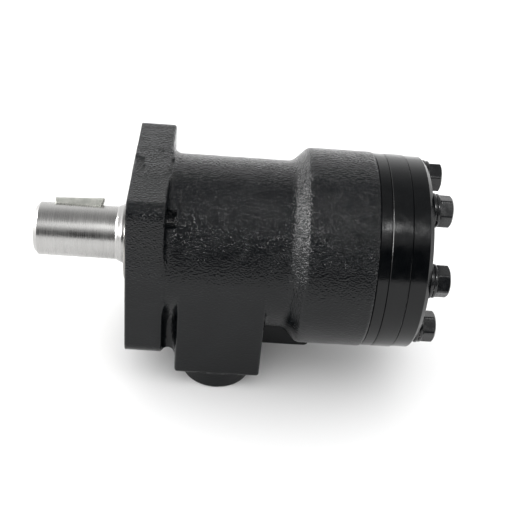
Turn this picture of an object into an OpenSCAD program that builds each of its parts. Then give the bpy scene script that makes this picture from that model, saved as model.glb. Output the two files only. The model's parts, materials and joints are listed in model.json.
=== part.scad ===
// Hydraulic orbit motor (inner gear rotor with six lobes in a ring with seven lobes)
// Millimetres. The origin is the centre of the flange's front face, on the shaft axis.
// +X runs from the flange to the end cover, the ports open toward -Z.

/* [Flange and neck] */
// Side of the square mounting flange
flange_side = 82.4; // [78:0.2:90]
// Thickness of the mounting flange
flange_t = 17.2; // [14:0.2:20]
// Corner radius of the flange
flange_corner_r = 7; // [4:0.5:9]
// Hole-to-hole distance of the four mounting holes
mount_spacing = 58.38; // [56:0.01:60]
// Wall radius of the four tapped mounting holes
mount_hole_r = 4.25; // [4:0.05:5]
// Radius of the pilot on the front face
pilot_r = 22.2; // [21:0.1:24]
// Height of the pilot
pilot_h = 2.8; // [2:0.1:4]
// Radius of the cast neck
neck_r = 40.2; // [39:0.1:41]
// Radius of the cast body behind the cone
body_r = 47; // [46.5:0.1:50]
// Where the cone starts
cone_x0 = 73.6; // [70:0.1:76]
// Where the cone ends
cone_x1 = 80.6; // [78:0.1:86]
// Rear face of the casting
housing_end = 111.3; // [108:0.1:114]
// Radius of the fillet between the flange and the neck
neck_fillet_r = 4; // [2:0.5:4]

/* [Port block] */
// Half width of the port block at its underside
block_half_w = 38.5; // [36:0.1:39]
// Front side of the port block
block_x0 = 23.6; // [22:0.1:26]
// Rear side of the port block
block_x1 = 64.2; // [62:0.1:68]
// Level of the block's underside below the axis
block_z = 52.6; // [48:0.1:56]
// Port centre along the motor
port_x = 43.6; // [43:0.1:45]
// Distance of each port from the middle
port_y = 21.5; // [20:0.1:22]
// Radius of the round port bosses
port_boss_r = 16.8; // [15:0.1:17]
// Level of the port faces below the axis
port_face_z = 60.9; // [56:0.1:64]
// Wall radius of the threaded ports
port_r = 9.3; // [8:0.1:10]
// Depth of the threaded ports
port_depth = 16; // [12:1:18]
// Half width of the web between the flange and the port block
web_half_w = 33.6; // [30:0.1:36]
// Half width of the drain pad
pad_half_w = 14; // [12:0.5:16]
// Rear end of the drain pad
pad_x1 = 89.5; // [86:0.5:92]
// Drain port centre along the motor
drain_x = 76.7; // [74:0.1:79]
// Wall radius of the threaded drain port
drain_r = 5.72; // [5:0.02:6]

/* [Gear set and cover] */
// Rear face of the distributor plate
plate_end = 116.6; // [115:0.1:119]
// Rear face of the ring
ring_end = 125.75; // [124:0.05:132]
// Rear face of the end cover
cover_end = 135.5; // [134:0.1:142]
// Outer radius of the distributor plate
plate_r = 46.4; // [46:0.1:47]
// Outer radius of the ring
ring_r = 46.5; // [46:0.1:47]
// Outer radius of the end cover
cover_r = 46.1; // [45.8:0.1:47]
// Chamfer on the end cover's rim
cover_chamfer = 2; // [1:0.1:3]
// Small chamfer on each rim where two plates meet
rim_chamfer = 0.35; // [0.2:0.05:0.5]
// Radius of the bolt circle
bolt_circle_r = 36.7; // [36.5:0.1:37]
// Turn of the bolt circle about the axis
bolt_turn = 62.5; // [0:0.5:90]
// Number of lobes in the ring, one more than on the rotor
ring_lobes = 7; // [7:1:7]
// Eccentricity of the rotor
ecc = 3.2; // [3:0.1:3.2]
// Radius of the ring's lobes
lobe_r = 8; // [7.5:0.1:8.5]
// Distance of the ring's lobe centres from the axis
lobe_centre_r = 35.5; // [35.3:0.1:35.8]
// Gap between the rotor and the lobes
gear_gap = 0.06; // [0.03:0.01:0.1]

/* [Cover bolts] */
// Thread radius of the bolts
bolt_r = 4; // [4:0.1:4]
// Width across flats of the bolt heads
bolt_flats = 13; // [13:0.5:13]
// Height of the bolt heads
bolt_head_h = 6.4; // [5.3:0.1:7]
// Radius of the washers
washer_r = 8; // [7:0.1:8.2]
// Thickness of each of the two washers under a head
washer_t = 1.7; // [1.2:0.1:2]

/* [Output shaft] */
// Radius of the output shaft
shaft_r = 12.7; // [12:0.1:12.8]
// Length of the shaft in front of the flange face
shaft_out = 46; // [40:0.5:56]
// Chamfer on the shaft's tip
tip_chamfer = 1.8; // [1:0.1:2.5]
// Radius of the journal that runs through the seals
journal_r = 14.25; // [14:0.05:14.3]
// Radius of the valve spool on the shaft
spool_r = 19.5; // [19.5:0.1:19.5]
// Rear end of the shaft
spool_end = 104; // [100:1:106]

/* [Key] */
// Width of the key
key_w = 6.35; // [6:0.05:6.4]
// Radius of the round underside of the key
key_r = 11.9; // [11.5:0.1:12.7]
// Height of the key's flat top above the shaft axis
key_top = 15.5; // [15:0.1:16]
// Middle of the key along the shaft
key_x = -26.6; // [-30:0.1:-24]
// Turn of the key about the shaft axis, from straight up
key_turn = 34.5; // [0:0.5:90]
// Tilt of the key in its round pocket
key_rock = 2.7; // [0:0.1:3]

/* [Drive link] */
// Front spline centre of the drive link
link_front = 63; // [62:0.5:64]
// Rear spline centre of the drive link
link_rear = 119.8; // [119.8:0.1:119.8]
// Radius of the link's plain middle
link_r = 8.8; // [8:0.1:9]
// Number of spline teeth
spline_teeth = 12; // [12:1:12]

/* [Hidden] */
$fn = 96;
lobe_pitch = 360 / ring_lobes;
rotor_lobes = ring_lobes - 1;
// direction from the axis to the rotor's centre: away from the lowest lobe
ecc_turn = bolt_turn + 4 * lobe_pitch - 180;
rotor_y = ecc * cos(ecc_turn);
rotor_z = ecc * sin(ecc_turn);
link_tilt = atan(ecc / (link_rear - link_front));
// the upper mounting holes run out beside the neck
mount_hole_len = flange_t + 4;
rear_chamfer = 0.6;
bolt_hole_r = bolt_r + 0.4;
tapped_r = bolt_r + 0.25;
tapped_depth = 20;
// seals and front bearing
seal_bore_r = 19;
seal_r = seal_bore_r - 0.1;
wall_x0 = 9.5;
wall_x1 = 11.5;
journal_hole_r = 15;
race_r = 19.2;
race_t = 1;
needles = 24;
needle_r = 0.94;
spool_x0 = 15.5;
bore_r = spool_r + 0.04;
// valve
gallery_r = 23.5;
gallery_w = 5;
gallery_a = 34;
gallery_b = 48.5;
groove_r = 17;
timing_x = 43.75;
timing_r = 2;
passage_x0 = 41.5;
passage_r = 2.5;
passage_at = 30;
slot_w = 3.2;
slot_len = 8.2;
slot_bottom = 17.4;
// drillings
port_drill_r = 3;
drain_seat_r = 7.8;
drain_seat_depth = 2.8;
drain_depth = 12.8;
drain_groove_r = 21.5;
// splines
spline_in_r = 10.2;
spline_out_r = 12.6;
spline_slot_w = 3;
spline_gap = 0.4;
tooth_w = 2.4;
tooth_len = 8;
link_end = 123;
disc_x0 = 123.7;
disc_t = 1.9;
// check valves
valve_at = 26;
valve_r = 3;
valve_x0 = 100;
valve_seat_r = 1.5;
bush_x0 = 105.2;
ball_r = 2.3;
ball_x = 101.8;
// O-rings between the plates
oring_at = 43.3;
oring_r = 0.8;
groove_w = 2.4;
groove_d = 1.7;
// key
key_centre = key_top + 1.6;
key_fit = 0.3;

// lays a flat XY outline on the YZ plane and extrudes it along +X
module along(x0, len) {
    translate([x0, 0, 0])
        rotate([90, 0, 90])
            linear_extrude(height = len)
                children();
}

// turns an outline of (radius, position) about the motor axis
module turned() {
    rotate([90, 0, 90])
        rotate_extrude()
            children();
}

module ring_of(x0, len, r_in, r_out) {
    along(x0, len)
        difference() {
            circle(r = r_out);
            circle(r = r_in);
        }
}

// a disc with a small chamfer on both rims
module rimmed_disc(x0, len, r, chamfer) {
    turned()
        polygon([[0, x0], [r - chamfer, x0], [r, x0 + chamfer],
            [r, x0 + len - chamfer], [r - chamfer, x0 + len], [0, x0 + len]]);
}

// repeats children at each bolt of the end cover
module at_bolts() {
    for (i = [0 : ring_lobes - 1])
        rotate([bolt_turn + i * lobe_pitch, 0, 0])
            translate([0, bolt_circle_r, 0])
                children();
}

// repeats children between the bolts
module at_passages(r) {
    for (i = [0 : ring_lobes - 1])
        rotate([bolt_turn + (i + 0.5) * lobe_pitch, 0, 0])
            translate([0, r, 0])
                children();
}

// repeats children at the two check valves
module at_valves() {
    for (i = [2, 6])
        rotate([bolt_turn + i * lobe_pitch, 0, 0])
            translate([0, valve_at, 0])
                children();
}

module rod_x(x0, len, r) {
    translate([x0, 0, 0])
        rotate([0, 90, 0])
            cylinder(r = r, h = len);
}

module rod_z(x, y, z0, len, r) {
    translate([x, y, z0])
        cylinder(r = r, h = len);
}

module flange_outline() {
    h = flange_side / 2;
    c = h - flange_corner_r;
    square([flange_side, 2 * c], center = true);
    square([2 * c, flange_side], center = true);
    for (y = [-c, c])
        for (z = [-c, c])
            translate([y, z])
                circle(r = flange_corner_r);
}

// fillet between the flange's rear face and the neck
module neck_fillet() {
    f = neck_fillet_r;
    intersection() {
        turned()
            difference() {
                translate([neck_r - 1, flange_t - 0.5])
                    square([f + 1, f + 0.5]);
                translate([neck_r + f, flange_t + f])
                    circle(r = f);
            }
        along(flange_t - 1, f + 2)
            square([flange_side, flange_side], center = true);
    }
}

module housing_outside() {
    along(0, flange_t)
        flange_outline();
    neck_fillet();
    rod_x(-pilot_h, pilot_h + 1, pilot_r);
    turned()
        polygon([[0, 1], [neck_r, 1], [neck_r, cone_x0], [body_r, cone_x1],
            [body_r, housing_end - 2 * rear_chamfer], [body_r - rear_chamfer, housing_end],
            [0, housing_end]]);
    // port block, with the draft that lets its sides run into the neck
    along(block_x0, block_x1 - block_x0)
        polygon([[-neck_r, 0], [-block_half_w, -block_z], [block_half_w, -block_z],
            [neck_r, 0]]);
    // web between the flange and the port block
    translate([flange_t - 2, -web_half_w, -flange_side / 2])
        cube([block_x0 - flange_t + 4, 2 * web_half_w, flange_side / 2]);
    // drain pad
    translate([block_x1 - 2, -pad_half_w, -block_z + 0.2])
        cube([pad_x1 - block_x1 + 2, 2 * pad_half_w, block_z - 0.2]);
    for (s = [-1, 1])
        rod_z(port_x, s * port_y, -port_face_z, 20, port_boss_r);
}

module mount_holes() {
    h = mount_spacing / 2;
    for (y = [-h, h]) {
        translate([0, y, h])
            rod_x(-1, mount_hole_len + 1, mount_hole_r);
        translate([0, y, -h])
            rod_x(-1, flange_t - 1, mount_hole_r);
    }
}

module housing_bores() {
    // seal chamber, journal hole and spool bore
    rod_x(-pilot_h - 1, wall_x0 + pilot_h + 1, seal_bore_r);
    rod_x(wall_x0 - 1, wall_x1 - wall_x0 + 2, journal_hole_r);
    rod_x(wall_x1, housing_end - wall_x1 + 1, bore_r);
    ring_of(gallery_a, gallery_w, bore_r - 1, gallery_r);
    ring_of(gallery_b, gallery_w, bore_r - 1, gallery_r);
    ring_of(drain_x - gallery_w / 2, gallery_w, bore_r - 1, drain_groove_r);
    // passages from the timing holes to the gear set
    at_passages(passage_at)
        rod_x(passage_x0, housing_end - passage_x0 + 1, passage_r);
    for (i = [0 : ring_lobes - 1])
        rotate([bolt_turn + (i + 0.5) * lobe_pitch - 90, 0, 0])
            rod_z(timing_x, 0, bore_r - 1, passage_at - bore_r + 1, timing_r);
}

module housing_ports() {
    for (s = [-1, 1])
        rod_z(port_x, s * port_y, -port_face_z - 1, port_depth + 1, port_r);
    drill_z = -port_face_z + port_depth - 1;
    rod_z(gallery_a + 3.5, -18.5, drill_z, 32, port_drill_r);
    rod_z(gallery_b + 1.5, 18.5, drill_z, 32, port_drill_r);
    rod_z(drain_x, 0, -block_z - 1, drain_seat_depth + 1, drain_seat_r);
    rod_z(drain_x, 0, -block_z, drain_depth, drain_r);
    rod_z(drain_x, 0, -block_z + 10, block_z - 10 - bore_r + 1, port_drill_r);
}

module housing_rear() {
    at_bolts()
        rod_x(housing_end - tapped_depth, tapped_depth + 1, tapped_r);
    ring_of(housing_end - groove_d, groove_d + 1, oring_at - groove_w / 2,
        oring_at + groove_w / 2);
    at_valves() {
        rod_x(valve_x0, housing_end - valve_x0 + 1, valve_r);
        rod_x(valve_x0 - 7, 8, valve_seat_r);
    }
    for (i = [2, 6])
        rotate([bolt_turn + i * lobe_pitch - 90, 0, 0])
            rod_z(valve_x0 - 5.5, 0, bore_r - 1, valve_at - bore_r + 1, 1.3);
}

module housing() {
    color([0.07, 0.07, 0.08])
        difference() {
            housing_outside();
            mount_holes();
            housing_bores();
            housing_ports();
            housing_rear();
        }
}

// outline of a straight sided internal spline
module spline_hole() {
    circle(r = spline_in_r);
    for (i = [0 : spline_teeth - 1])
        rotate(i * 360 / spline_teeth)
            translate([0, -spline_slot_w / 2])
                square([spline_out_r, spline_slot_w]);
}

// outline of the matching teeth on the link
module spline_teeth_outline() {
    circle(r = spline_in_r - spline_gap);
    for (i = [0 : spline_teeth - 1])
        rotate(i * 360 / spline_teeth)
            translate([0, -tooth_w / 2])
                square([spline_out_r - spline_gap, tooth_w]);
}

// places children where the key sits
module key_place() {
    rotate([-key_turn, 0, 0])
        translate([key_x, 0, key_centre])
            rotate([0, -key_rock, 0])
                children();
}

module key_disc(r, w) {
    rotate([90, 0, 0])
        translate([0, 0, -w / 2])
            cylinder(r = r, h = w);
}

module shaft_outline() {
    polygon([[0, -shaft_out], [shaft_r - tip_chamfer, -shaft_out],
        [shaft_r, -shaft_out + tip_chamfer], [shaft_r, -7.6], [shaft_r + 0.5, -6.9],
        [journal_r - 0.4, -5.4], [journal_r, -4.6], [journal_r, spool_x0],
        [spool_r, spool_x0], [spool_r, gallery_a], [groove_r, gallery_a],
        [groove_r, gallery_a + gallery_w], [spool_r, gallery_a + gallery_w],
        [spool_r, gallery_b], [groove_r, gallery_b], [groove_r, gallery_b + gallery_w],
        [spool_r, gallery_b + gallery_w], [spool_r, spool_end], [0, spool_end]]);
}

module spool_slots() {
    a_end = gallery_a + gallery_w;
    for (i = [0 : 5]) {
        rotate([i * 60, 0, 0])
            translate([a_end - 0.5, slot_bottom, -slot_w / 2])
                cube([slot_len, 4, slot_w]);
        rotate([i * 60 + 30, 0, 0])
            translate([gallery_b + 0.5 - slot_len, slot_bottom, -slot_w / 2])
                cube([slot_len, 4, slot_w]);
    }
}

module output_shaft() {
    color([0.72, 0.72, 0.7])
        difference() {
            turned()
                shaft_outline();
            key_place()
                key_disc(key_r + key_fit, key_w + 0.04);
            spool_slots();
            // socket for the drive link
            rod_x(50, 8, 9);
            along(57, 14)
                spline_hole();
            rod_x(70, spool_end - 69, 13.4);
            // leak oil drilling to the thrust bearing
            rod_x(24, 27, 3);
            rotate([15, 0, 0])
                rod_z(26, 0, 0, 25, 2);
            // tapped hole in the shaft's tip
            rod_x(-shaft_out - 1, 20, 2.55);
        }
}

module woodruff_key() {
    color([0.45, 0.45, 0.44])
        key_place()
            difference() {
                key_disc(key_r, key_w);
                translate([-20, -10, key_top - key_centre])
                    cube([40, 20, 20]);
            }
}

module dust_seal() {
    color([0.08, 0.08, 0.08])
        turned()
            polygon([[journal_r + 0.05, -2.6], [journal_r + 1.2, -2.6], [16, 0],
                [seal_r, 0], [seal_r, 2], [15.4, 2], [journal_r + 0.8, -1]]);
}

module shaft_seal() {
    color([0.12, 0.07, 0.05])
        turned()
            polygon([[seal_r, 2.2], [seal_r, 8], [17.6, 8], [17.6, 3.6], [16.4, 3.6],
                [16.4, 6.6], [journal_r + 0.05, 6.6], [journal_r + 0.05, 5.8],
                [journal_r + 0.9, 2.2]]);
}

module seal_backing_ring() {
    color([0.75, 0.75, 0.72])
        ring_of(8, 1.5, journal_r + 0.35, seal_r);
}

module thrust_race_front() {
    color([0.7, 0.7, 0.7])
        ring_of(wall_x1, race_t, journal_hole_r, race_r);
}

module needle_at(i, r0, r1, r) {
    rotate([i * 360 / needles, 0, 0])
        translate([(wall_x1 + spool_x0) / 2, r0, 0])
            rotate([-90, 0, 0])
                cylinder(r = r, h = r1 - r0);
}

module thrust_cage() {
    color([0.55, 0.42, 0.2])
        difference() {
            ring_of(12.9, 1.2, 14.6, race_r);
            for (i = [0 : needles - 1])
                rotate([i * 360 / needles, 0, 0])
                    translate([12, 15.3, -1.05])
                        cube([3, 3.3, 2.1]);
        }
}

module thrust_needles() {
    color([0.8, 0.8, 0.8])
        for (i = [0 : needles - 1])
            needle_at(i, 15.4, 18.5, needle_r);
}

module thrust_race_rear() {
    color([0.7, 0.7, 0.7])
        ring_of(spool_x0 - race_t, race_t, journal_r + 0.3, race_r);
}

module link_straight() {
    turned()
        polygon([[0, link_front - 5], [8, link_front - 5], [link_r, link_front - 4.4],
            [link_r, link_end - 0.3], [8, link_end], [0, link_end]]);
    along(link_front - tooth_len / 2, tooth_len)
        spline_teeth_outline();
    along(link_end - tooth_len + 0.8, tooth_len - 1)
        spline_teeth_outline();
}

module drive_link() {
    color([0.6, 0.6, 0.6])
        translate([link_front, 0, 0])
            rotate([ecc_turn, 0, 0])
                rotate([0, 0, link_tilt])
                    rotate([-ecc_turn, 0, 0])
                        translate([-link_front, 0, 0])
                            link_straight();
}

module distributor_plate() {
    color([0.1, 0.1, 0.11])
        difference() {
            rimmed_disc(housing_end, plate_end - housing_end, plate_r, rim_chamfer);
            rod_x(housing_end - 1, 10, 16);
            at_bolts()
                rod_x(housing_end - 1, 10, bolt_hole_r);
            at_passages(passage_at)
                rod_x(housing_end - 1, 10, passage_r + 0.1);
            ring_of(plate_end - groove_d, groove_d + 1, oring_at - groove_w / 2,
                oring_at + groove_w / 2);
        }
}

module stator_ring() {
    w = ring_end - plate_end;
    color([0.1, 0.1, 0.11])
        difference() {
            rimmed_disc(plate_end, w, ring_r, rim_chamfer);
            along(plate_end - 1, w + 2)
                difference() {
                    circle(r = lobe_centre_r - lobe_r + 2 * ecc + 0.3);
                    for (i = [0 : ring_lobes - 1])
                        rotate(bolt_turn + i * lobe_pitch)
                            translate([lobe_centre_r, 0])
                                circle(r = lobe_r);
                }
            at_bolts()
                rod_x(plate_end - 1, w + 2, bolt_hole_r);
        }
}

// one point of the rotor's outline: the ring's lobe rolls round it at the offset lobe_r
function rotor_point(t) =
    let(
        n = ring_lobes,
        px = lobe_centre_r * cos(t) + ecc * cos(n * t),
        py = lobe_centre_r * sin(t) + ecc * sin(n * t),
        nx = lobe_centre_r * cos(t) + n * ecc * cos(n * t),
        ny = lobe_centre_r * sin(t) + n * ecc * sin(n * t),
        l = sqrt(nx * nx + ny * ny),
        r = lobe_r + gear_gap
    )
    [px - r * nx / l, py - r * ny / l];

module rotor() {
    w = ring_end - plate_end - 0.1;
    points = 240;
    color([0.65, 0.65, 0.66])
        translate([0, rotor_y, rotor_z])
            along(plate_end + 0.05, w)
                difference() {
                    rotate(ecc_turn + 180)
                        polygon([for (i = [0 : points - 1]) rotor_point(i * 360 / points)]);
                    spline_hole();
                }
}

module link_stop_disc() {
    color([0.6, 0.6, 0.62])
        translate([0, rotor_y, rotor_z])
            rod_x(disc_x0, disc_t, spline_in_r - 0.4);
}

module end_cover() {
    color([0.1, 0.1, 0.11])
        difference() {
            turned()
                polygon([[0, ring_end], [cover_r - rim_chamfer, ring_end],
                    [cover_r, ring_end + rim_chamfer],
                    [cover_r, cover_end - cover_chamfer],
                    [cover_r - cover_chamfer, cover_end], [0, cover_end]]);
            at_bolts()
                rod_x(ring_end - 1, 20, bolt_hole_r);
            rod_x(ring_end - 1, 4, 15);
            ring_of(ring_end - 1, groove_d + 1, oring_at - groove_w / 2,
                oring_at + groove_w / 2);
        }
}

module oring_at_x(x) {
    color([0.05, 0.05, 0.05])
        turned()
            translate([oring_at, x])
                circle(r = oring_r);
}

module oring_front() {
    oring_at_x(housing_end - 0.86);
}

module oring_middle() {
    oring_at_x(plate_end - 0.86);
}

module oring_rear() {
    oring_at_x(ring_end + 0.86);
}

module cover_bolts() {
    x = cover_end + 2 * washer_t;
    corner = bolt_flats / 2 / cos(30);
    turns = [31, 50, 5, 48, 20, 12, 40];
    color([0.05, 0.05, 0.06])
        for (i = [0 : ring_lobes - 1])
            rotate([bolt_turn + i * lobe_pitch, 0, 0])
                translate([0, bolt_circle_r, 0])
                    rotate([turns[i] - bolt_turn - i * lobe_pitch, 0, 0]) {
                        rod_x(housing_end - tapped_depth + 2, x - housing_end
                            + tapped_depth - 1, bolt_r);
                        intersection() {
                            along(x, bolt_head_h)
                                circle(r = corner, $fn = 6);
                            turned()
                                polygon([[0, x], [corner + 1, x],
                                    [corner + 1, x + bolt_head_h - 1.6],
                                    [bolt_flats / 2 - 0.5, x + bolt_head_h],
                                    [0, x + bolt_head_h]]);
                        }
                    }
}

module flat_washers() {
    color([0.06, 0.06, 0.07])
        at_bolts()
            ring_of(cover_end, washer_t, bolt_r + 0.4, washer_r);
}

module sealing_washers() {
    color([0.06, 0.06, 0.07])
        at_bolts()
            ring_of(cover_end + washer_t, washer_t, bolt_r + 0.3, washer_r - 0.3);
}

module drain_plug() {
    color([0.3, 0.3, 0.3])
        difference() {
            union() {
                rod_z(drain_x, 0, -block_z + 0.4, 1.6, 7.5);
                rod_z(drain_x, 0, -block_z + 1.8, 8.4, drain_r - 0.3);
            }
            translate([drain_x, 0, -block_z - 1])
                cylinder(r = 3 / cos(30), h = 6.4, $fn = 6);
        }
}

module drain_washer() {
    color([0.7, 0.4, 0.2])
        difference() {
            rod_z(drain_x, 0, -block_z + 2, 0.8, 7.5);
            rod_z(drain_x, 0, -block_z + 1, 3, drain_r + 0.1);
        }
}

module check_ball(i) {
    color([0.8, 0.8, 0.8])
        rotate([bolt_turn + i * lobe_pitch, 0, 0])
            translate([ball_x, valve_at, 0])
                sphere(r = ball_r);
}

module check_ball_a() {
    check_ball(2);
}

module check_ball_b() {
    check_ball(6);
}

module check_bushes() {
    color([0.6, 0.5, 0.3])
        at_valves()
            ring_of(bush_x0, housing_end - bush_x0, valve_seat_r, valve_r - 0.2);
}

housing();
output_shaft();
woodruff_key();
dust_seal();
shaft_seal();
seal_backing_ring();
thrust_race_front();
thrust_cage();
thrust_needles();
thrust_race_rear();
drive_link();
distributor_plate();
stator_ring();
rotor();
link_stop_disc();
end_cover();
oring_front();
oring_middle();
oring_rear();
cover_bolts();
flat_washers();
sealing_washers();
drain_plug();
drain_washer();
check_ball_a();
check_ball_b();
check_bushes();
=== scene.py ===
"""A hydraulic orbit motor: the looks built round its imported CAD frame.

The frame's origin is the centre of the flange's front face, +X runs along the shaft to the end cover
and +Z is up. Shapes are worked out in millimetres and stored in metres.
"""
import math

import bpy
import numpy as np
from mathutils import Matrix, Vector
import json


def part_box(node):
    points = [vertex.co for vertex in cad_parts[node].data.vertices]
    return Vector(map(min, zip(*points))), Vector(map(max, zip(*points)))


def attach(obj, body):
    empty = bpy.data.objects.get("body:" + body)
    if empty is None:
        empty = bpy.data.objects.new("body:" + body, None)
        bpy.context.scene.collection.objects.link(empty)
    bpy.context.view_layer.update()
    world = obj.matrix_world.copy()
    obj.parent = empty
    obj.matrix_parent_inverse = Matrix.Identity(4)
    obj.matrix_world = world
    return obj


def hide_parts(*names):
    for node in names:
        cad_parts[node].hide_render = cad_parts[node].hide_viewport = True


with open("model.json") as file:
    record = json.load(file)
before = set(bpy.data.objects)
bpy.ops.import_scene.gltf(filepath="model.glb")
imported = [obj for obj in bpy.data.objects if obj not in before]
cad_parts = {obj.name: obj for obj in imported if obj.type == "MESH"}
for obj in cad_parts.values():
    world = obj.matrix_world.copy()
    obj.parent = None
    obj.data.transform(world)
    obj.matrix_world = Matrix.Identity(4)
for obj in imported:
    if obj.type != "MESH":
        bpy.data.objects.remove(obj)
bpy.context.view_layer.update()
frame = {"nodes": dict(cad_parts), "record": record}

MM = 0.001
TAU = 2 * math.pi


def box_mm(node):
    """The lowest and highest corners of a CAD node, in millimetres."""
    low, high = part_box(node)
    return np.array(low) / MM, np.array(high) / MM


def mount(name):
    """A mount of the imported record."""
    return next(m for m in frame["record"]["mounts"] if m["name"] == name)


# ---- sizes that the frame gives ----
HOUSING_LOW, HOUSING_HIGH = box_mm("housing")
BOLTS_LOW, BOLTS_HIGH = box_mm("cover_bolts")
WASHER_LOW, WASHER_HIGH = box_mm("flat_washers")
SEALING_LOW, SEALING_HIGH = box_mm("sealing_washers")
PILOT_R = mount("pilot")["dims"]["r_mm"]
PILOT_H = -HOUSING_LOW[0]
HOUSING_END = HOUSING_HIGH[0]
BODY_R = HOUSING_HIGH[1]
PORT_FACE_Z = HOUSING_LOW[2]
PORT_R = mount("port_a")["dims"]["r_mm"]
PORT_DEPTH = mount("port_a")["dims"]["length_mm"]
PORT_X = mount("port_a")["pos_m"][0] / MM
PORT_Y = mount("port_b")["pos_m"][1] / MM
HOLE_R = mount("mounting_holes")["dims"]["hole_r_mm"]
HOLE_AT = mount("mounting_holes")["dims"]["spacing_x_mm"] / 2

# ---- sizes of the casting: the flange, the neck and the cone up to the round body ----
FLANGE_HALF = 41.2
FLANGE_T = 17.2
FLANGE_CORNER = 7.0
FLANGE_REAR_R = 1.5
FLANGE_FILLET = 4.0
NECK_R = 40.2
NECK_X0 = 1
NECK_FILLET = 1.3
CONE_X0, CONE_X1 = 73.6, 80.6
CONE_EDGE_R = 1.2

# ---- the port block, whose sides lean out from the underside to the neck ----
BLOCK_X0, BLOCK_X1 = 23.6, 64.2
BLOCK_HALF = 38.5
BLOCK_Z = -52.6
BLOCK_EDGE_R, BLOCK_FOOT_R = 1.2, 1.8
BLOCK_FILLET, BLOCK_FILLET_LEAST = 2.5, 0.001
DRAFT = (NECK_R - BLOCK_HALF) / -BLOCK_Z
DRAFT_Z = -DRAFT * NECK_R
BOSS_R = 16.8
BOSS_TOP_Z = -40
BOSS_FILLET = 0.6

# ---- the web between the flange and the block ----
WEB_HALF = 33.6
WEB_X0 = 14
WEB_INTO_BLOCK = 4
WEB_ABOVE_FOOT = 3
WEB_ARCH_R = 4.0
WEB_FILLET = 0.9
VALLEY_R = 3.2

# ---- the drain pad ----
PAD_X0, PAD_X1 = 40, 89.5
PAD_HALF = 14.0
PAD_Z = -52.4
PAD_CORNER, PAD_EDGE_R, PAD_FILLET = 3.0, 1.5, 2.5

# ---- the skin: broad swells, small ripples, and enough inset to stay inside the CAD ----
SWELL, SWELL_SIZE = 0.05, 11.0
RIPPLE, RIPPLE_SIZE, RIPPLE_SHIFT = 0.015, 4.0, 40
SKIN_INSET = 0.07

# ---- machined faces, bores and holes ----
PORT_FACE_R, REAR_FACE_R, FRONT_FACE_R = 0.6, 0.2, 0.4
REAR_CHAMFER = 0.6
PILOT_ROOT_X = 2
WIDE_RIM, RIM, SHARP_RIM = 0.5, 0.3, 0.2
SEAL_BORE_R, SEAL_BORE_X = 19.0, 9.5
JOURNAL_HOLE_R = 15.0
JOURNAL_END, JOURNAL_TAPER = 3, 3
SPOOL_BORE_R, SPOOL_BORE_X = 19.54, 11.5
HOLE_RUN_OUT = 21.2
HOLE_FLOOR = 2
HOLE_THREAD_ROOM, HOLE_THREAD_STOP = 0.9, 3
PORT_THREAD_ROOM = 1.3
DRAIN_X = 76.7
DRAIN_WELL_R, DRAIN_WELL_TOP = 7.8, -49.8
DRAIN_HOLE_R, DRAIN_HOLE_TOP = 5.8, -40

# ---- threads: start, length, depth and pitch ----
HOLE_THREAD = 0.6, 12.6, 0.88, 1.5
PORT_THREAD = 1.2, PORT_DEPTH - 1.4, 1.28, 1.814

# ---- the bolt circle ----
BOLTS = 7
BOLT_CIRCLE_R = 36.7
BOLT_TURN = math.radians(62.5)
BOLT_R = 4.0
BOLT_CLEARANCE = 0.3
BOLT_HOLE_DEPTH = 20
HEAD_FLATS = 13.0
HEAD_TURNS = [31, 50, 5, 48, 20, 12, 40]


# ---- distance fields ----
def join(a, b, r):
    """The union of two solids, with a fillet of radius r between them."""
    return np.maximum(r, np.minimum(a, b)) - np.hypot(np.maximum(r - a, 0), np.maximum(r - b, 0))


def meet(a, b, r):
    """What two solids share, with their common edge rounded to radius r."""
    return np.minimum(-r, np.maximum(a, b)) + np.hypot(np.maximum(r + a, 0), np.maximum(r + b, 0))


def cut(a, b, r):
    """Solid a without solid b, with the rim rounded to radius r."""
    return meet(a, -b, r)


def rounded_square(u, v, half_u, half_v, r):
    """Signed distance to a rectangle with round corners."""
    du = np.abs(u) - (half_u - r)
    dv = np.abs(v) - (half_v - r)
    return np.hypot(np.maximum(du, 0), np.maximum(dv, 0)) + np.minimum(np.maximum(du, dv), 0) - r


def slab(x, x0, x1):
    return np.maximum(x0 - x, x - x1)


LATTICE = np.random.default_rng(7).random((32, 32, 32)).astype(np.float32)


def lumps(x, y, z, size):
    """Smooth seeded noise from -1 to 1, with lumps about size across."""
    out = 0.0
    cells = []
    for c in (x, y, z):
        c = c / size + 500.0
        i = np.floor(c).astype(int)
        t = c - i
        cells.append((i % 32, (i + 1) % 32, t * t * (3 - 2 * t)))
    (x0, x1, tx), (y0, y1, ty), (z0, z1, tz) = cells
    for i, wx in ((x0, 1 - tx), (x1, tx)):
        for j, wy in ((y0, 1 - ty), (y1, ty)):
            for k, wz in ((z0, 1 - tz), (z1, tz)):
                out = out + LATTICE[i, j, k] * (wx * wy * wz)
    return 2 * out - 1


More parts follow.
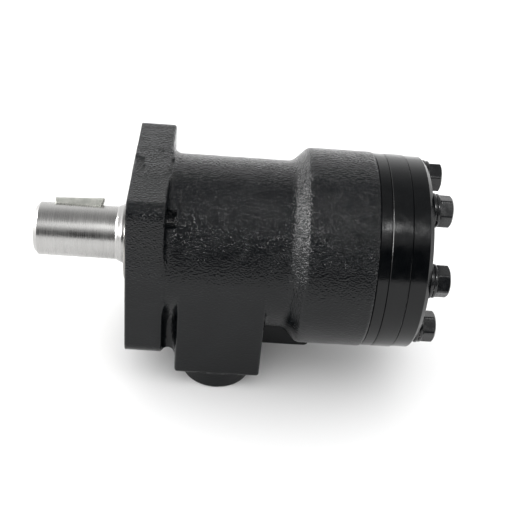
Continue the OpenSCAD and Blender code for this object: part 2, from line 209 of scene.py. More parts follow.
def casting(x, y, z):
    """Signed distance to the painted casting with its machined holes."""
    rho = np.hypot(y, z)
    skin = SWELL * lumps(x, y, z, SWELL_SIZE) + RIPPLE * lumps(x + RIPPLE_SHIFT, y, z, RIPPLE_SIZE)
    shape = round_body(x, y, z, rho)
    shape = join(shape, drain_pad(x, y, z), PAD_FILLET)
    # the block's sides run out of the neck as tangents, so its fillet fades to nothing there
    sides = np.where(z < DRAFT_Z, np.abs(y) - BLOCK_HALF - DRAFT * (z - BLOCK_Z), rho - NECK_R)
    block = meet(slab(x, BLOCK_X0, BLOCK_X1), sides, BLOCK_EDGE_R)
    block = meet(block, BLOCK_Z - z, BLOCK_FOOT_R)
    shape = join(shape, block, np.clip(rho - NECK_R - sides, BLOCK_FILLET_LEAST, BLOCK_FILLET))
    shape = join(shape, web(x, y, z), WEB_FILLET)
    for side in (-1, 1):
        boss = np.hypot(x - PORT_X, y - side * PORT_Y) - BOSS_R
        boss = np.maximum(boss, z - BOSS_TOP_Z)
        shape = join(shape, boss, BOSS_FILLET)
    shape = shape - (skin - SKIN_INSET)
    return drilled(faced(shape, x, z, rho), x, y, z, rho)


def round_body(x, y, z, rho):
    """The square flange, the neck behind it, the cone and the round body."""
    flange = rounded_square(y, z, FLANGE_HALF, FLANGE_HALF, FLANGE_CORNER)
    flange = meet(flange, x - FLANGE_T, FLANGE_REAR_R)
    neck = np.maximum(rho - NECK_R, slab(x, NECK_X0, CONE_X1))
    rise = np.hypot(CONE_X1 - CONE_X0, BODY_R - NECK_R)
    cone = ((rho - NECK_R) * (CONE_X1 - CONE_X0) - (x - CONE_X0) * (BODY_R - NECK_R)) / rise
    body = meet(rho - BODY_R, cone, CONE_EDGE_R)
    shape = join(neck, body, NECK_FILLET)
    # the fillet behind the flange never rises past the flange's own sides
    fillet = join(shape, flange, FLANGE_FILLET)
    lift = np.maximum(0.0, np.maximum(np.abs(y), z) - FLANGE_HALF)
    capped = np.maximum(np.minimum(shape, flange), fillet)
    return np.where(lift > 0, capped, fillet)


def drain_pad(x, y, z):
    """The flat pad under the body that holds the drain."""
    pad = rounded_square(x - (PAD_X0 + PAD_X1) / 2, y, (PAD_X1 - PAD_X0) / 2, PAD_HALF, PAD_CORNER)
    return np.maximum(meet(pad, PAD_Z - z, PAD_EDGE_R), z)


def web(x, y, z):
    """The web from the flange to the block: arched below, with a trough down each side."""
    arch = join(-FLANGE_HALF - z, BLOCK_X0 - x, WEB_ARCH_R)
    off_wall = VALLEY_R - np.clip(np.minimum(x - FLANGE_T, BLOCK_X0 - x), 0, VALLEY_R)
    trough = VALLEY_R - np.sqrt(np.maximum(VALLEY_R ** 2 - off_wall ** 2, 0))
    sides = np.maximum(slab(x, WEB_X0, BLOCK_X0 + WEB_INTO_BLOCK), np.abs(y) - WEB_HALF - trough)
    return np.maximum(np.maximum(np.maximum(sides, arch), z), BLOCK_Z + WEB_ABOVE_FOOT - z)


def faced(shape, x, z, rho):
    """The machined port faces, the rear face with its small chamfer, the mounting face and the pilot."""
    shape = meet(shape, PORT_FACE_Z - z, PORT_FACE_R)
    chamfer = (2 * (rho - BODY_R + REAR_CHAMFER) + x - HOUSING_END) / math.sqrt(5)
    shape = meet(shape, chamfer, REAR_FACE_R)
    shape = meet(shape, x - HOUSING_END, REAR_FACE_R)
    shape = meet(shape, -x, FRONT_FACE_R)
    pilot = meet(rho - PILOT_R, slab(x, -PILOT_H, PILOT_ROOT_X), FRONT_FACE_R)
    return np.minimum(shape, pilot)


def drilled(shape, x, y, z, rho):
    """Cuts the bores, ports and screw holes."""
    shape = cut(shape, np.maximum(rho - SEAL_BORE_R, x - SEAL_BORE_X), WIDE_RIM)
    taper = np.maximum(0, x - SPOOL_BORE_X - JOURNAL_END) * JOURNAL_TAPER
    shape = cut(shape, rho - JOURNAL_HOLE_R + taper, RIM)
    shape = cut(shape, np.maximum(rho - SPOOL_BORE_R, SPOOL_BORE_X - x), RIM)
    for sy in (-1, 1):
        for sz in (-1, 1):
            hole = np.hypot(y - sy * HOLE_AT, z - sz * HOLE_AT)
            depth = HOLE_RUN_OUT if sz > 0 else FLANGE_T - HOLE_FLOOR
            thread = np.maximum(hole - HOLE_R - HOLE_THREAD_ROOM, x - FLANGE_T + HOLE_THREAD_STOP)
            shape = cut(shape, np.maximum(hole - HOLE_R, x - depth), WIDE_RIM)
            shape = cut(shape, thread, SHARP_RIM)
    for side in (-1, 1):
        port = np.hypot(x - PORT_X, y - side * PORT_Y)
        well = np.maximum(port - PORT_R - PORT_THREAD_ROOM, z - PORT_FACE_Z - PORT_DEPTH)
        shape = cut(shape, well, PORT_FACE_R)
    drain = np.hypot(x - DRAIN_X, y)
    shape = cut(shape, np.maximum(drain - DRAIN_WELL_R, z - DRAIN_WELL_TOP), FRONT_FACE_R)
    shape = cut(shape, np.maximum(drain - DRAIN_HOLE_R, z - DRAIN_HOLE_TOP), RIM)
    for i in range(BOLTS):
        bolt_y, bolt_z = bolt_centre(i)
        hole = np.hypot(y - bolt_y, z - bolt_z)
        hole = np.maximum(hole - BOLT_R - BOLT_CLEARANCE, HOUSING_END - BOLT_HOLE_DEPTH - x)
        shape = cut(shape, hole, SHARP_RIM)
    return shape


def gradient(field, p, h):
    """The field's gradient at the points p."""
    g = np.empty_like(p)
    for a in range(3):
        d = np.zeros(3)
        d[a] = h
        q, r = p + d, p - d
        g[:, a] = (field(q[:, 0], q[:, 1], q[:, 2]) - field(r[:, 0], r[:, 1], r[:, 2])) / (2 * h)
    return g


def surface_net(field, low, high, step):
    """Quads on the field's zero surface: one point in each grid cell that the surface crosses."""
    axes = [np.arange(a, b + step, step) for a, b in zip(low, high)]
    x, y, z = (c.astype(np.float32) for c in np.meshgrid(*axes, indexing="ij"))
    d = field(x, y, z).astype(np.float32)
    inside = d < 0
    n = [s - 1 for s in d.shape]
    corners = [(i, j, k) for i in (0, 1) for j in (0, 1) for k in (0, 1)]
    count = sum(inside[i:i + n[0], j:j + n[1], k:k + n[2]].astype(np.uint8) for i, j, k in corners)
    cell = np.argwhere((count > 0) & (count < 8))
    index = np.full(count.shape, -1)
    index[tuple(cell.T)] = np.arange(len(cell))
    total = np.zeros((len(cell), 3))
    hits = np.zeros(len(cell))
    for a in range(3):
        for corner in corners:
            if corner[a]:
                continue
            start = cell + corner
            end = start.copy()
            end[:, a] += 1
            d0, d1 = d[tuple(start.T)], d[tuple(end.T)]
            crossed = (d0 < 0) != (d1 < 0)
            t = np.where(crossed, d0 / np.where(crossed, d0 - d1, 1), 0)
            point = np.array(corner, float) + np.zeros((len(cell), 3))
            point[:, a] += t
            total += point * crossed[:, None]
            hits += crossed
    points = (cell + total / hits[:, None]) * step + np.array([c[0] for c in axes])
    quads = []
    for a in range(3):
        b, c = (a + 1) % 3, (a + 2) % 3
        first = inside.take(range(n[a]), a)
        second = inside.take(range(1, n[a] + 1), a)
        edge = np.argwhere(first != second)
        edge = edge[(edge[:, b] > 0) & (edge[:, c] > 0) & (edge[:, b] < n[b]) & (edge[:, c] < n[c])]
        ring = []
        for ob, oc in ((1, 1), (0, 1), (0, 0), (1, 0)):
            q = edge.copy()
            q[:, b] -= ob
            q[:, c] -= oc
            ring.append(index[tuple(q.T)])
        ring = np.stack(ring, 1)
        outward = first[tuple(edge.T)]
        ring[~outward] = ring[~outward][:, ::-1]
        quads.append(ring)
    return points, np.concatenate(quads)


# ---- mesh helpers ----
def new_object(name, mesh, body="housing"):
    obj = bpy.data.objects.new(name, mesh)
    bpy.context.scene.collection.objects.link(obj)
    if body:
        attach(obj, body)
    return obj


def quad_mesh(name, points_mm, quads):
    mesh = bpy.data.meshes.new(name)
    mesh.vertices.add(len(points_mm))
    mesh.vertices.foreach_set("co", (points_mm * MM).astype(np.float32).ravel())
    mesh.loops.add(len(quads) * 4)
    mesh.loops.foreach_set("vertex_index", quads.astype(np.int32).ravel())
    mesh.polygons.add(len(quads))
    mesh.polygons.foreach_set("loop_start", np.arange(0, len(quads) * 4, 4, dtype=np.int32))
    mesh.update(calc_edges=True)
    mesh.shade_smooth()
    return mesh


def field_mesh(name, field, low, high, step):
    """A smooth mesh of a distance field, with the field's own normals."""
    points, quads = surface_net(field, low, high, step)
    for _ in range(2):
        d = field(points[:, 0], points[:, 1], points[:, 2])
        g = gradient(field, points, 0.05)
        g2 = np.maximum((g * g).sum(1), 0.25)
        move = g * (np.clip(d, -step, step) / g2)[:, None]
        points = points - move
    mesh = quad_mesh(name, points, quads)
    normals = gradient(field, points, 0.2)
    normals /= np.linalg.norm(normals, axis=1)[:, None] + 1e-9
    mesh.normals_split_custom_set_from_vertices(normals.tolist())
    return mesh


def rows_mesh(name, parts, looped=False, sharp=math.radians(40)):
    """Joins solids given as rows of points round an axis. Rows close at both ends in a point, or loop."""
    points, faces = [], []
    for rows in parts:
        base = sum(len(p) for p in points)
        count, around = rows.shape[:2]
        points.append(rows.reshape(-1, 3))
        pairs = count if looped else count - 1
        for i in range(pairs):
            j = (i + 1) % count
            for k in range(around):
                m = (k + 1) % around
                faces.append([base + i * around + k, base + i * around + m,
                              base + j * around + m, base + j * around + k])
        if not looped:
            faces.append([base + k for k in reversed(range(around))])
            faces.append([base + (count - 1) * around + k for k in range(around)])
    mesh = bpy.data.meshes.new(name)
    mesh.from_pydata((np.concatenate(points) * MM).tolist(), [], faces)
    mesh.shade_smooth()
    mesh.set_sharp_from_angle(angle=sharp)
    return mesh


def arc(cx, cr, r, start, end, steps):
    """Points (x, radius) on an arc."""
    for i in range(steps + 1):
        t = math.radians(start + (end - start) * i / steps)
        yield cx + r * math.cos(t), cr + r * math.sin(t)


def bolt_rows(profile, around, centre_y, centre_z, turn=0.0, shape=None):
    """Rows of points round an axis along +X through (centre_y, centre_z), from (x, radius) pairs."""
    t = np.arange(around) * TAU / around
    limit = shape(t) if shape is not None else None
    rows = []
    for x, r in profile:
        radius = np.full(around, float(r)) if limit is None else soft_min(limit, r, 0.25)
        rows.append(np.stack([np.full(around, float(x)), centre_y + radius * np.cos(t + turn),
                              centre_z + radius * np.sin(t + turn)], 1))
    return np.array(rows)


def soft_min(a, b, k):
    h = np.clip(0.5 + 0.5 * (b - a) / k, 0, 1)
    return b * (1 - h) + a * h - k * h * (1 - h)


def hexagon(t, flats=HEAD_FLATS):
    """Radius of a hexagon with slightly rounded corners."""
    total = sum(np.abs(np.cos(t - i * math.pi / 3)) ** 40 for i in range(3))
    return flats / 2 / total ** (1 / 40)


def bolt_centre(i):
    t = BOLT_TURN + i * TAU / BOLTS
    return BOLT_CIRCLE_R * math.cos(t), BOLT_CIRCLE_R * math.sin(t)


def hex_bolts():
    """Seven painted hexagon bolts with a domed, chamfered head."""
    x0, x1 = SEALING_HIGH[0], BOLTS_HIGH[0]
    flat_r = HEAD_FLATS / 2 - 0.7
    corner = 8.0
    profile = [(BOLTS_LOW[0], 0.8), (BOLTS_LOW[0], BOLT_R - 0.6), (BOLTS_LOW[0] + 0.6, BOLT_R),
               (x0 - 0.3, BOLT_R), (x0, BOLT_R + 0.2), (x0, 6.0)]
    profile += [(x0 + 0.03, 6.6), (x0 + 0.12, 7.1), (x0 + 0.3, 7.5), (x0 + 0.55, 8.0)]
    chamfer_x = x1 - 0.35
    slope = math.tan(math.radians(28))
    profile += [(x0 + 1.2 + i * 0.5, corner) for i in range(6)]
    for i in range(9):
        r = corner + (flat_r - corner) * (i / 8)
        profile.append((chamfer_x - (r - flat_r) * slope, r))
    for i in range(1, 9):
        r = flat_r * (1 - i / 9)
        profile.append((x1 - 0.35 * (r / flat_r) ** 2, r))
    parts = []
    for i in range(BOLTS):
        y, z = bolt_centre(i)
        turn = math.radians(HEAD_TURNS[i] + 30)
        parts.append(bolt_rows(profile, 96, y, z, turn, hexagon))
    return new_object("hex_bolts", rows_mesh("hex_bolts", parts, sharp=math.radians(50)))


def washer_rings(name, x0, x1, r_in, r_out, edge):
    """Seven washers with rounded rims."""
    profile = [(x0, r_in), (x0, r_out - edge)]
    profile += list(arc(x0 + edge, r_out - edge, edge, 180, 90, 5))[1:]
    profile += list(arc(x1 - edge, r_out - edge, edge, 90, 0, 5))
    profile += [(x1, r_in)]
    parts = [bolt_rows(profile, 64, *bolt_centre(i)) for i in range(BOLTS)]
    return new_object(name, rows_mesh(name, parts, looped=True))


def threaded_sleeve(length, r_in, r_out, pitch):
    """A thread on the inside of a sleeve, along +X from 0, as rows that loop."""
    around = 60
    t = np.arange(around) * TAU / around
    steps = int(length / pitch * 6)
    rows = []
    for i in range(steps + 1):
        x = length * i / steps
        wave = np.abs(((x / pitch - t / TAU) % 1) * 2 - 1)
        fade = min(1.0, x / pitch, (length - x) / pitch)
        r = r_out - 0.15 - (r_out - 0.15 - r_in) * np.clip(1.4 * wave - 0.2, 0, 1) * fade
        rows.append(np.stack([np.full(around, x), r * np.cos(t), r * np.sin(t)], 1))
    for x in (length, 0.0):
        rows.append(np.stack([np.full(around, x), r_out * np.cos(t), r_out * np.sin(t)], 1))
    return np.array(rows)[::-1]


def hole_threads():
    start, length, depth, pitch = HOLE_THREAD
    parts = []
    for sy in (-1, 1):
        for sz in (-1, 1):
            rows = threaded_sleeve(length, HOLE_R, HOLE_R + depth, pitch)
            parts.append(rows + np.array([start, sy * HOLE_AT, sz * HOLE_AT]))
    return new_object("mounting_hole_threads", rows_mesh("mounting_hole_threads", parts, True))


def port_threads():
    start, length, depth, pitch = PORT_THREAD
    parts = []
    for side in (-1, 1):
        rows = threaded_sleeve(length, PORT_R, PORT_R + depth, pitch)
        rows = np.stack([rows[..., 1] + PORT_X, rows[..., 2] + side * PORT_Y,
                         rows[..., 0] + PORT_FACE_Z + start], -1)
        parts.append(rows)
    return new_object("port_threads", rows_mesh("port_threads", parts, True))


def half_moon_key():
    """The key: a disc cut by a flat top, its edges rounded, rocked slightly in its pocket."""
    width, r, centre_h, top, x_mid = 6.35, 11.9, 17.1, 15.5, -26.6
    edge = 0.55
    turn, rock = math.radians(34.5), math.radians(2.7)
    drop = top - centre_h
    reach = math.sqrt(r * r - drop * drop)
    start, end = math.atan2(drop, reach) + TAU, math.atan2(drop, -reach) + TAU
    outline = [(r * math.cos(t), r * math.sin(t)) for t in np.linspace(start, end, 49)]
    n = len(outline)
    points = [(u, s * width / 2, h) for s in (-1, 1) for u, h in outline]
    faces = [list(range(n))[::-1], list(range(n, 2 * n))]
    faces += [[i, (i + 1) % n, n + (i + 1) % n, n + i] for i in range(n)]
    mesh = bpy.data.meshes.new("half_moon_key")
    mesh.from_pydata([Vector(p) * MM for p in points], [], faces)
    place = Matrix.Rotation(-turn, 4, "X") @ Matrix.Translation((x_mid * MM, 0, centre_h * MM))
    mesh.transform(place @ Matrix.Rotation(-rock, 4, "Y"))
    obj = new_object("half_moon_key", mesh, "shaft")
    bevel = obj.modifiers.new("rounded", "BEVEL")
    bevel.width = edge * MM
    bevel.segments = 4
    bevel.limit_method = "ANGLE"
    bevel.angle_limit = math.radians(30)
    return apply_modifiers(obj)


def apply_modifiers(obj):
    bpy.context.view_layer.update()
    evaluated = obj.evaluated_get(bpy.context.evaluated_depsgraph_get())
    mesh = bpy.data.meshes.new_from_object(evaluated)
    obj.modifiers.clear()
    obj.data = mesh
    mesh.shade_smooth()
    mesh.set_sharp_from_angle(angle=math.radians(35))
    return obj


# ---- materials ----
class Recipe:
    """A node material in the row frame's own coordinates, scaled to millimetres."""

    def __init__(self, name):
        self.material = bpy.data.materials.new(name)
        self.material.use_nodes = True
        self.nodes = self.material.node_tree.nodes
        self.links = self.material.node_tree.links
        self.shader = self.nodes["Principled BSDF"]
        place = self.nodes.new("ShaderNodeTexCoord")
        scale = self.nodes.new("ShaderNodeVectorMath")
        scale.operation = "SCALE"
        scale.inputs["Scale"].default_value = 1 / MM
        self.links.new(place.outputs["Object"], scale.inputs[0])
        self.place = scale.outputs[0]

    def set(self, **values):
        for key, value in values.items():
            self.shader.inputs[key.replace("_", " ")].default_value = value

    def link(self, value, socket):
        if hasattr(value, "links"):
            self.links.new(value, socket)
        else:
            socket.default_value = value

    def math(self, operation, a, b=0.0, c=0.0):
        node = self.nodes.new("ShaderNodeMath")
        node.operation = operation
        for value, socket in zip((a, b, c), node.inputs):
            self.link(value, socket)
        return node.outputs[0]

    def noise(self, size, detail=2.0, rough=0.5, place=None, distortion=0.0):
        """Noise from 0 to 1 with features about size millimetres across."""
        node = self.nodes.new("ShaderNodeTexNoise")
        node.inputs["Scale"].default_value = 1 / size
        node.inputs["Detail"].default_value = detail
        node.inputs["Roughness"].default_value = rough
        node.inputs["Distortion"].default_value = distortion
        self.links.new(place or self.place, node.inputs["Vector"])
        return node.outputs["Fac"]

    def cells(self, size):
        """Small round pits, deepest at their middles, about size millimetres apart."""
        node = self.nodes.new("ShaderNodeTexVoronoi")
        node.inputs["Scale"].default_value = 1 / size
        self.links.new(self.place, node.inputs["Vector"])
        return node.outputs["Distance"]

    def axis(self, name):
        node = self.nodes.new("ShaderNodeSeparateXYZ")
        self.links.new(self.place, node.inputs[0])
        return node.outputs[name]

    def turned(self):
        """Coordinates that only change along the axis and away from it: rings and concentric marks."""
        y, z = self.axis("Y"), self.axis("Z")
        rho = self.math("SQRT", self.math("ADD", self.math("MULTIPLY", y, y), self.math("MULTIPLY", z, z)))
        node = self.nodes.new("ShaderNodeCombineXYZ")
        self.links.new(self.axis("X"), node.inputs[0])
        self.links.new(rho, node.inputs[1])
        return node.outputs[0]

    def ramp(self, value, low, high, out_low=0.0, out_high=1.0):
        node = self.nodes.new("ShaderNodeMapRange")
        node.interpolation_type = "SMOOTHSTEP"
        self.link(value, node.inputs["Value"])
        for key, number in (("From Min", low), ("From Max", high), ("To Min", out_low), ("To Max", out_high)):
            node.inputs[key].default_value = number
        return node.outputs["Result"]

    def mix(self, factor, a, b):
        node = self.nodes.new("ShaderNodeMix")
        node.data_type = "RGBA"
        self.link(factor, node.inputs[0])
        for value, socket in ((a, node.inputs[6]), (b, node.inputs[7])):
            if isinstance(value, tuple):
                socket.default_value = (*value, 1)
            else:
                self.links.new(value, socket)
        return node.outputs[2]

    def bump(self, height, distance_mm, before=None, strength=1.0):
        node = self.nodes.new("ShaderNodeBump")
        self.link(strength, node.inputs["Strength"])
        node.inputs["Distance"].default_value = distance_mm * MM
        self.links.new(height, node.inputs["Height"])
        if before is not None:
            self.links.new(before, node.inputs["Normal"])
        return node.outputs["Normal"]

    def edges(self):
        """Close to 1 on raised edges."""
        node = self.nodes.new("ShaderNodeNewGeometry")
        return self.ramp(node.outputs["Pointiness"], 0.52, 0.62)

    def finish(self, color, roughness, normal):
        self.links.new(color, self.shader.inputs["Base Color"])
        self.links.new(roughness, self.shader.inputs["Roughness"])
        self.links.new(normal, self.shader.inputs["Normal"])
        return self.material


MASK_DEPTH = 0.12
PAINT_SHEEN = 0.28


def cast_paint():
    """Glossy black paint over a sand casting, bare and turned on the mounting face and port faces."""
    m = Recipe("black_paint_cast")
    patches = m.noise(14, 3)
    grain = m.noise(0.78, 1.0, 0.4)
    pits = m.cells(0.9)
    fine = m.noise(0.45, 1.0)
    height = m.math("ADD", grain, m.math("MULTIPLY", pits, 0.55))
    # bare metal where the paint was masked
    x, z = m.axis("X"), m.axis("Z")
    bare = m.math("MAXIMUM", m.math("LESS_THAN", x, MASK_DEPTH),
                  m.math("LESS_THAN", z, PORT_FACE_Z + MASK_DEPTH))
    painted = m.math("SUBTRACT", 1.0, bare)
    # the skin is calmer low down, on the block and the flange's lower half
    skin = m.math("MULTIPLY", m.ramp(patches, 0.3, 0.7, 0.75, 1.0), m.ramp(z, -16.0, 20.0, 0.28, 1.0))
    coarse = m.bump(height, 0.50, strength=m.math("MULTIPLY", painted, skin))
    normal = m.bump(fine, 0.05, coarse, strength=m.math("MULTIPLY", painted, 0.9))
    color = m.mix(m.ramp(patches, 0.35, 0.7), (0.0018, 0.0024, 0.0031), (0.0032, 0.0040, 0.0048))
    color = m.mix(m.math("MULTIPLY", m.edges(), 0.35), color, (0.020, 0.020, 0.020))
    m.set(Specular_IOR_Level=PAINT_SHEEN)
    rough = m.ramp(m.noise(5, 3), 0.3, 0.7, 0.08, 0.16)
    marks = m.noise(0.16, 2, place=m.turned())
    metal = m.mix(marks, (0.30, 0.29, 0.275), (0.46, 0.45, 0.43))
    color = m.mix(bare, color, metal)
    rough = m.math("ADD", rough, m.math("MULTIPLY", bare, 0.1))
    m.links.new(bare, m.shader.inputs["Metallic"])
    return m.finish(color, rough, normal)


def machined_paint():
    """Satin black paint over turned steel: faint rings, fine orange peel, thin on the edges."""
    m = Recipe("black_paint_machined")
    rings = m.noise(0.35, 2, place=m.turned())
    wide = m.noise(2.5, 2, place=m.turned())
    peel = m.noise(0.9, 2)
    dapple = m.noise(9, 3)
    normal = m.bump(m.math("ADD", rings, m.math("MULTIPLY", wide, 0.6)), 0.006)
    normal = m.bump(peel, 0.022, normal)
    color = m.mix(m.ramp(dapple, 0.35, 0.7), (0.0012, 0.0016, 0.0021), (0.0026, 0.0030, 0.0035))
    color = m.mix(m.math("MULTIPLY", m.edges(), 0.05), color, (0.02, 0.02, 0.02))
    m.set(Specular_IOR_Level=PAINT_SHEEN)
    rough = m.ramp(m.noise(4, 3), 0.3, 0.7, 0.12, 0.20)
    return m.finish(color, rough, normal)


def bolt_paint():
    m = Recipe("black_bolt")
    normal = m.bump(m.noise(1.6, 2), 0.018)
    normal = m.bump(m.noise(0.4, 2), 0.006, normal)
    color = m.mix(m.ramp(m.noise(3, 3), 0.3, 0.7), (0.0030, 0.0034, 0.0042), (0.0070, 0.0075, 0.0083))
    chips = m.math("MULTIPLY", m.edges(), m.ramp(m.noise(1.1, 3), 0.56, 0.66))
    color = m.mix(chips, color, (0.22, 0.21, 0.20))
    rough = m.ramp(m.noise(2.2, 3), 0.3, 0.7, 0.18, 0.30)
    return m.finish(color, rough, normal)


def steel(name, light, dark, low, high, ring=0.2, lines=0.004, wave=0.0, wave_size=7.0):
    """Turned or ground steel with fine rings round the axis."""
    m = Recipe(name)
    m.set(Metallic=1.0)
    rings = m.noise(ring, 2.0, 0.5, place=m.turned())
    streaks = m.noise(ring * 6, 2, place=m.turned())
    smudge = m.noise(8, 3)
    normal = m.bump(rings, lines)
    if wave:
        normal = m.bump(m.noise(wave_size, 2), wave, normal)
    tone = m.math("ADD", m.math("MULTIPLY", streaks, 0.5), m.math("MULTIPLY", smudge, 0.5))
    color = m.mix(m.ramp(tone, 0.25, 0.75), dark, light)
    rough = m.math("ADD", m.ramp(rings, 0.3, 0.7, low, high), m.ramp(smudge, 0.3, 0.8, 0.0, 0.05))
    return m.finish(color, rough, normal)


def key_steel():
    m = Recipe("key_steel")
    m.set(Metallic=1.0)
    normal = m.bump(m.noise(0.5, 3), 0.02)
    color = m.mix(m.ramp(m.noise(2.2, 4, 0.6), 0.35, 0.7), (0.42, 0.43, 0.395), (0.54, 0.54, 0.505))
    color = m.mix(m.math("MULTIPLY", m.edges(), 0.5), color, (0.5, 0.5, 0.48))
    rough = m.ramp(m.noise(1.4, 3), 0.3, 0.7, 0.38, 0.52)
    return m.finish(color, rough, normal)


def rubber(name, dark, light):
    m = Recipe(name)
    normal = m.bump(m.noise(0.35, 3), 0.015)
    color = m.mix(m.ramp(m.noise(3, 3), 0.35, 0.7), dark, light)
    rough = m.ramp(m.noise(2, 2), 0.3, 0.7, 0.55, 0.7)
    return m.finish(color, rough, normal)


def metal(name, light, dark, low, high):
    """Stamped or annealed metal, with soft blotches and scratches."""
    m = Recipe(name)
    m.set(Metallic=1.0)
    scratches = m.noise(0.25, 3, 0.6, distortion=1.5)
    normal = m.bump(scratches, 0.006)
    color = m.mix(m.ramp(m.noise(2.5, 4), 0.3, 0.7), dark, light)
    rough = m.ramp(m.noise(1.8, 3), 0.3, 0.7, low, high)
    return m.finish(color, rough, normal)


MATERIALS = {
    "black_paint_cast": cast_paint(),
    "black_paint_machined": machined_paint(),
    "black_bolt": bolt_paint(),
    "ground_steel": steel("ground_steel", (0.45, 0.446, 0.438), (0.40, 0.396, 0.389), 0.23, 0.30,
                          0.28, 0.0012, 0.02, 7.0),
    "key_steel": key_steel(),
    "plain_steel": steel("plain_steel", (0.55, 0.54, 0.52), (0.42, 0.41, 0.40), 0.26, 0.38),
    "bearing_steel": steel("bearing_steel", (0.74, 0.74, 0.74), (0.64, 0.64, 0.65), 0.08, 0.16, 0.3, 0.001),
    "dark_steel": steel("dark_steel", (0.32, 0.31, 0.30), (0.20, 0.20, 0.20), 0.28, 0.42, 0.4, 0.006),
    "gear_steel": steel("gear_steel", (0.56, 0.55, 0.54), (0.46, 0.45, 0.44), 0.20, 0.32),
    "black_rubber": rubber("black_rubber", (0.010, 0.010, 0.010), (0.022, 0.022, 0.022)),
    "brown_rubber": rubber("brown_rubber", (0.070, 0.030, 0.018), (0.110, 0.050, 0.030)),
    "brass_cage": metal("brass_cage", (0.66, 0.50, 0.24), (0.48, 0.34, 0.15), 0.22, 0.36),
    "copper_washer": metal("copper_washer", (0.66, 0.36, 0.22), (0.45, 0.23, 0.14), 0.28, 0.42),
}


def wear(obj, slot):
    """Gives an object the material of its slot."""
    obj.data.materials.clear()
    obj.data.materials.append(MATERIALS[slot])


# ---- pieces ----
MARGIN, NET_STEP = 1.5, 0.8
housing_mesh = field_mesh("motor_casting", casting, HOUSING_LOW - MARGIN, HOUSING_HIGH + MARGIN, NET_STEP)
pieces = [
    (new_object("motor_casting", housing_mesh), "black_paint_cast", "housing"),
    (hex_bolts(), "black_bolt", "cover_bolts"),
    (washer_rings("flat_washer_rings", WASHER_LOW[0], WASHER_HIGH[0], 4.4, 8.0, 0.7), "black_bolt",
     "flat_washers"),
    (washer_rings("sealing_washer_rings", SEALING_LOW[0], SEALING_HIGH[0], 4.3, 7.7, 0.7), "black_bolt",
     "sealing_washers"),
    (half_moon_key(), "key_steel", "woodruff_key"),
    (hole_threads(), "plain_steel", None),
    (port_threads(), "plain_steel", None),
]
for piece, slot, node in pieces:
    wear(piece, slot)
    if node:
        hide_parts(node)
for row in frame["record"]["subparts"]:
    wear(frame["nodes"][row["node"]], row["material_slot"])


# ---- floor, light and camera ----
FLOOR_HALF, FLOOR_GAP = 12.0, 0.0002


def pale_floor():
    m = Recipe("pale_floor")
    color = m.mix(m.noise(300, 2), (0.86, 0.86, 0.86), (0.88, 0.88, 0.88))
    m.links.new(color, m.shader.inputs["Base Color"])
    m.set(Roughness=0.9, Specular_IOR_Level=0.0)
    level = PORT_FACE_Z * MM - FLOOR_GAP
    mesh = bpy.data.meshes.new("floor")
    corners = [(x * FLOOR_HALF, y * FLOOR_HALF, level) for x, y in ((-1, -1), (1, -1), (1, 1), (-1, 1))]
    mesh.from_pydata(corners, [], [[0, 1, 2, 3]])
    mesh.materials.append(m.material)
    new_object("floor", mesh, None)


# the room's brightness by angle, in degrees from straight ahead, over the top, to straight behind
ROOM = [(0, 0.0), (39, 0.0), (44, 0.65), (62, 0.65), (72, 0.42), (84, 0.36), (112, 0.36),
        (126, 0.5), (141, 0.8), (158, 1.2), (180, 1.3)]
ROOM_SLANT, ROOM_TURN = -0.62, 0.12
BACKDROP = 0.93


def room():
    """A pale room that is dark in front of the object. Seen directly it is a plain pale backdrop."""
    world = bpy.data.worlds.new("studio")
    bpy.context.scene.world = world
    world.use_nodes = True
    nodes, links = world.node_tree.nodes, world.node_tree.links

    def calc(operation, *values):
        node = nodes.new("ShaderNodeMath")
        node.operation = operation
        for value, socket in zip(values, node.inputs):
            if hasattr(value, "links"):
                links.new(value, socket)
            else:
                socket.default_value = value
        return node.outputs[0]

    place = nodes.new("ShaderNodeTexCoord")
    split = nodes.new("ShaderNodeSeparateXYZ")
    links.new(place.outputs["Generated"], split.inputs[0])
    angle = calc("ARCTAN2", split.outputs["Z"], calc("MULTIPLY", split.outputs["Y"], -1.0))
    # the dark stretch in front ends lower towards the left
    turned = calc("ADD", angle, calc("MULTIPLY_ADD", split.outputs["X"], ROOM_SLANT, ROOM_TURN))
    ramp = nodes.new("ShaderNodeValToRGB")
    links.new(calc("DIVIDE", turned, math.pi), ramp.inputs[0])
    while len(ramp.color_ramp.elements) < len(ROOM):
        ramp.color_ramp.elements.new(0.5)
    for element, (degrees, value) in zip(ramp.color_ramp.elements, ROOM):
        element.position = degrees / 180
        element.color = (value, value, value, 1)
    links.new(ramp.outputs[0], nodes["Background"].inputs["Color"])
    backdrop = nodes.new("ShaderNodeBackground")
    backdrop.inputs["Color"].default_value = (BACKDROP, BACKDROP, BACKDROP, 1)
    path = nodes.new("ShaderNodeLightPath")
    choose = nodes.new("ShaderNodeMixShader")
    links.new(path.outputs["Is Camera Ray"], choose.inputs[0])
    links.new(nodes["Background"].outputs[0], choose.inputs[1])
    links.new(backdrop.outputs[0], choose.inputs[2])
    links.new(choose.outputs[0], nodes["World Output"].inputs["Surface"])


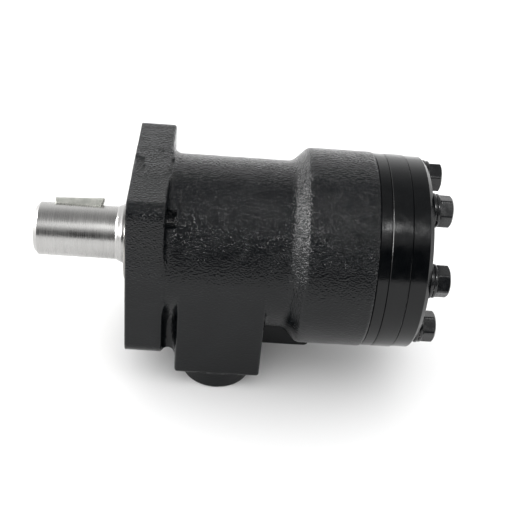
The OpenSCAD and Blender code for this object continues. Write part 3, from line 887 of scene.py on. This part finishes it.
def lights():
    """Four soft boxes for the highlights, and a wide overhead light that shades the object and the floor."""
    middle = Vector((0.06, 0, 0))
    lamp("key", middle, (0.12, -0.50, 0.88), (0.05, 0.14), 3.9)
    lamp("front_left", middle, (-0.21, -0.60, 0.80), (0.2, 0.4), 0.3)
    lamp("left", middle, (-1.15, 0.0, 0.32), (1.05, 0.40), 31.0)
    lamp("right", middle, (0.87, -0.28, 0.55), (0.6, 0.5), 3.0)
    ceiling = bpy.data.lights.new("ceiling", "SUN")
    ceiling.energy = 3.5
    ceiling.angle = math.radians(140)
    top = bpy.data.objects.new("ceiling", ceiling)
    top.visible_glossy = False
    bpy.context.scene.collection.objects.link(top)


def lamp(name, target, place, size, power):
    light = bpy.data.lights.new(name, "AREA")
    light.shape = "RECTANGLE"
    light.size, light.size_y = size
    light.energy = power
    obj = bpy.data.objects.new(name, light)
    obj.location = target + Vector(place)
    obj.rotation_euler = (-Vector(place)).to_track_quat("-Z", "Y").to_euler()
    # the lamps make highlights only, so that the floor keeps one soft shadow
    obj.visible_diffuse = False
    bpy.context.scene.collection.objects.link(obj)


def camera():
    """A view of the near side from above, with a slight roll."""
    azimuth, elevation, roll = math.radians(-3.27), math.radians(34.55), math.radians(5.55)
    distance, target = 0.46644, Vector((0.058885, 0, 0))
    back = Vector((math.sin(azimuth) * math.cos(elevation), -math.cos(azimuth) * math.cos(elevation),
                   math.sin(elevation)))
    right = (-back).cross(Vector((0, 0, 1))).normalized()
    up = back.cross(right)
    c, s = math.cos(roll), math.sin(roll)
    right, up = c * right + s * up, c * up - s * right
    data = bpy.data.cameras.new("camera")
    data.sensor_width = 36
    data.lens = 67.93
    data.shift_y = -0.0282
    data.clip_start = 0.01
    obj = bpy.data.objects.new("camera", data)
    rotation = Matrix((right, up, back)).transposed().to_4x4()
    obj.matrix_world = Matrix.Translation(target + distance * back) @ rotation
    bpy.context.scene.collection.objects.link(obj)
    bpy.context.scene.camera = obj


pale_floor()
room()
lights()
camera()
bpy.context.scene.view_settings.view_transform = "Standard"
